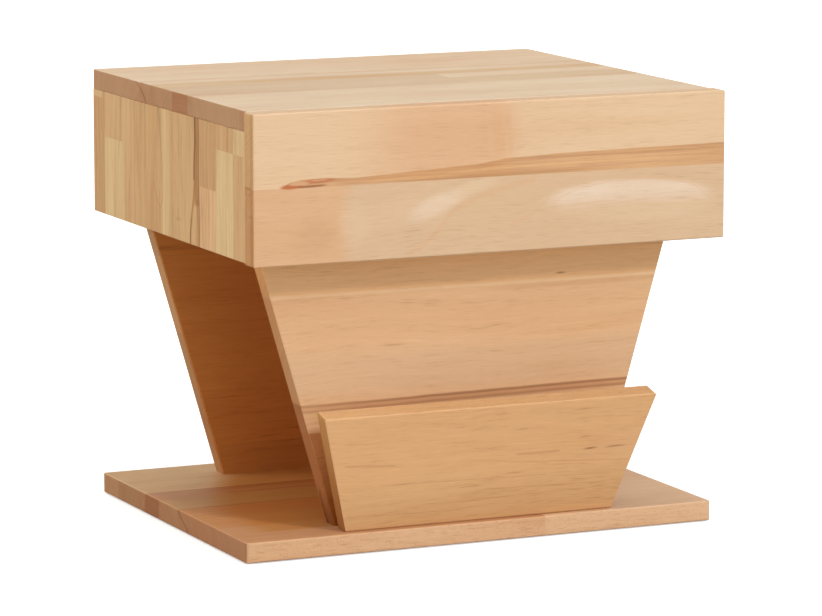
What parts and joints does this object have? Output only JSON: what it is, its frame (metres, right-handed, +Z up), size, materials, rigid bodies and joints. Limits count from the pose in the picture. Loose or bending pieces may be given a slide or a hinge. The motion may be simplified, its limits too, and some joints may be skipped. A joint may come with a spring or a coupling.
{
  "type": "bedside cabinet",
  "caption": "Solid beech bedside cabinet: a drawer box on a tapered two-panel stand with a leaning magazine pocket and a flat base plate.",
  "frame": {"origin": "middle of the cabinet's outline on the floor", "axes": "+X to the right seen from the front, -Y out of the drawer front, +Z up"},
  "size_m": [0.45, 0.393, 0.391],
  "materials": {
    "beech_board": "matt oil",
    "beech_front": "matt oil",
    "beech_dowel": "matt oil",
    "plywood": "matt oil",
    "runner_steel": "zinc plated",
    "screw_steel": "zinc plated",
    "ball_steel": "polished",
    "glide_plastic": "matt",
    "bumper_plastic": "soft"
  },
  "bodies": {
    "cabinet": {"base_plate": "beech_board", "glides": "glide_plastic", "front_stand_panel": "beech_board", "rear_stand_panel": "beech_board", "pocket_front": "beech_board", "stand_base_screws": "screw_steel", "stand_top_screws": "screw_steel", "pocket_screws": "screw_steel", "floor_panel": "beech_board", "left_side_panel": "beech_board", "right_side_panel": "beech_board", "back_panel": "beech_board", "top_panel": "beech_board", "floor_dowels": "beech_dowel", "back_dowels": "beech_dowel", "top_dowels": "beech_dowel", "front_bumpers": "bumper_plastic", "left_runner_cabinet": "runner_steel", "right_runner_cabinet": "runner_steel", "runner_cabinet_screws": "screw_steel"},
    "drawer": {"left_runner_drawer": "runner_steel", "right_runner_drawer": "runner_steel", "runner_drawer_screws": "screw_steel", "drawer_front": "beech_front", "drawer_inner_front": "beech_board", "drawer_left_side": "beech_board", "drawer_right_side": "beech_board", "drawer_back": "beech_board", "drawer_bottom": "plywood", "drawer_dowels": "beech_dowel", "drawer_front_screws": "screw_steel"},
    "left_runner_middle_body": {"left_runner_middle": "runner_steel"},
    "left_outer_cage_body": {"left_outer_cage": "runner_steel", "left_outer_balls": "ball_steel"},
    "left_inner_cage_body": {"left_inner_cage": "runner_steel", "left_inner_balls": "ball_steel"},
    "right_runner_middle_body": {"right_runner_middle": "runner_steel"},
    "right_outer_cage_body": {"right_outer_cage": "runner_steel", "right_outer_balls": "ball_steel"},
    "right_inner_cage_body": {"right_inner_cage": "runner_steel", "right_inner_balls": "ball_steel"}
  },
  "joints": [
    {"name": "drawer_slide", "type": "slide", "parent": "cabinet", "child": "drawer", "axis": [0, -1, 0], "range_m": [0, 0.3]},
    {"name": "left_runner_middle_slide", "type": "slide", "parent": "cabinet", "child": "left_runner_middle_body", "axis": [0, -1, 0], "range_m": [0, 0.15]},
    {"name": "left_outer_cage_slide", "type": "slide", "parent": "cabinet", "child": "left_outer_cage_body", "axis": [0, -1, 0], "range_m": [0, 0.075]},
    {"name": "left_inner_cage_slide", "type": "slide", "parent": "cabinet", "child": "left_inner_cage_body", "axis": [0, -1, 0], "range_m": [0, 0.225]},
    {"name": "right_runner_middle_slide", "type": "slide", "parent": "cabinet", "child": "right_runner_middle_body", "axis": [0, -1, 0], "range_m": [0, 0.15]},
    {"name": "right_outer_cage_slide", "type": "slide", "parent": "cabinet", "child": "right_outer_cage_body", "axis": [0, -1, 0], "range_m": [0, 0.075]},
    {"name": "right_inner_cage_slide", "type": "slide", "parent": "cabinet", "child": "right_inner_cage_body", "axis": [0, -1, 0], "range_m": [0, 0.225]}
  ],
  "couplings": [
    {"joint": "left_runner_middle_slide", "follows": "drawer_slide", "ratio": 0.5},
    {"joint": "left_outer_cage_slide", "follows": "drawer_slide", "ratio": 0.25},
    {"joint": "left_inner_cage_slide", "follows": "drawer_slide", "ratio": 0.75},
    {"joint": "right_runner_middle_slide", "follows": "drawer_slide", "ratio": 0.5},
    {"joint": "right_outer_cage_slide", "follows": "drawer_slide", "ratio": 0.25},
    {"joint": "right_inner_cage_slide", "follows": "drawer_slide", "ratio": 0.75}
  ]
}
